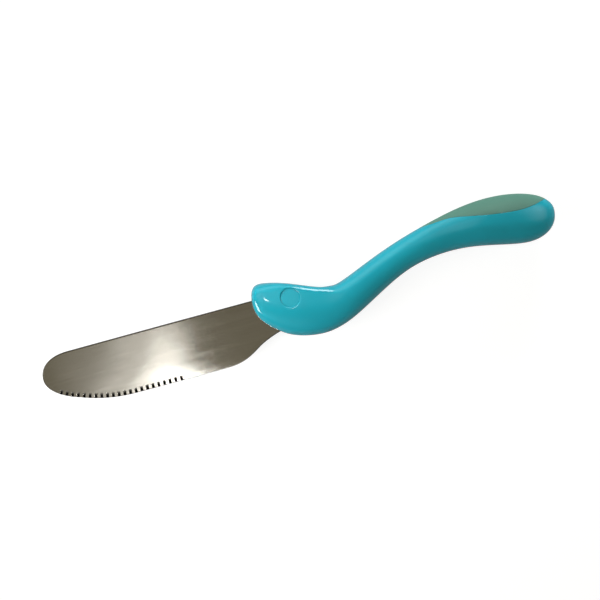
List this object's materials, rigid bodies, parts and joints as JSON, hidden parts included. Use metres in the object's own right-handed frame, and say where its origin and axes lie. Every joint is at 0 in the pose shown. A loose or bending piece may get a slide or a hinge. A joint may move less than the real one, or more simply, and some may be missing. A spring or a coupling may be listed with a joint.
{
  "type": "table knife",
  "caption": "Table knife with a round-tipped steel blade, a short serrated stretch of edge and an S-shaped moulded handle with a soft grip pad on its palm rest.",
  "frame": {"origin": "on the table under the middle of the knife's box, the knife lying on its right side", "axes": "+X from the blade's tip to the handle's butt, +Y from the cutting edge to the spine, +Z square to the blade, out of its left side"},
  "size_m": [0.1854, 0.033, 0.0156],
  "materials": {
    "steel": "satin, brushed along the blade",
    "handle_plastic": "glossy turquoise moulding",
    "soft_grip": "matte grey-green soft-touch pad"
  },
  "bodies": {
    "root": {"blade": "steel", "handle_half_left": "handle_plastic", "handle_half_right": "handle_plastic", "tang_pin": "steel", "pin_plug_left": "handle_plastic", "pin_plug_right": "handle_plastic", "grip_pad": "soft_grip"}
  },
  "joints": []
}
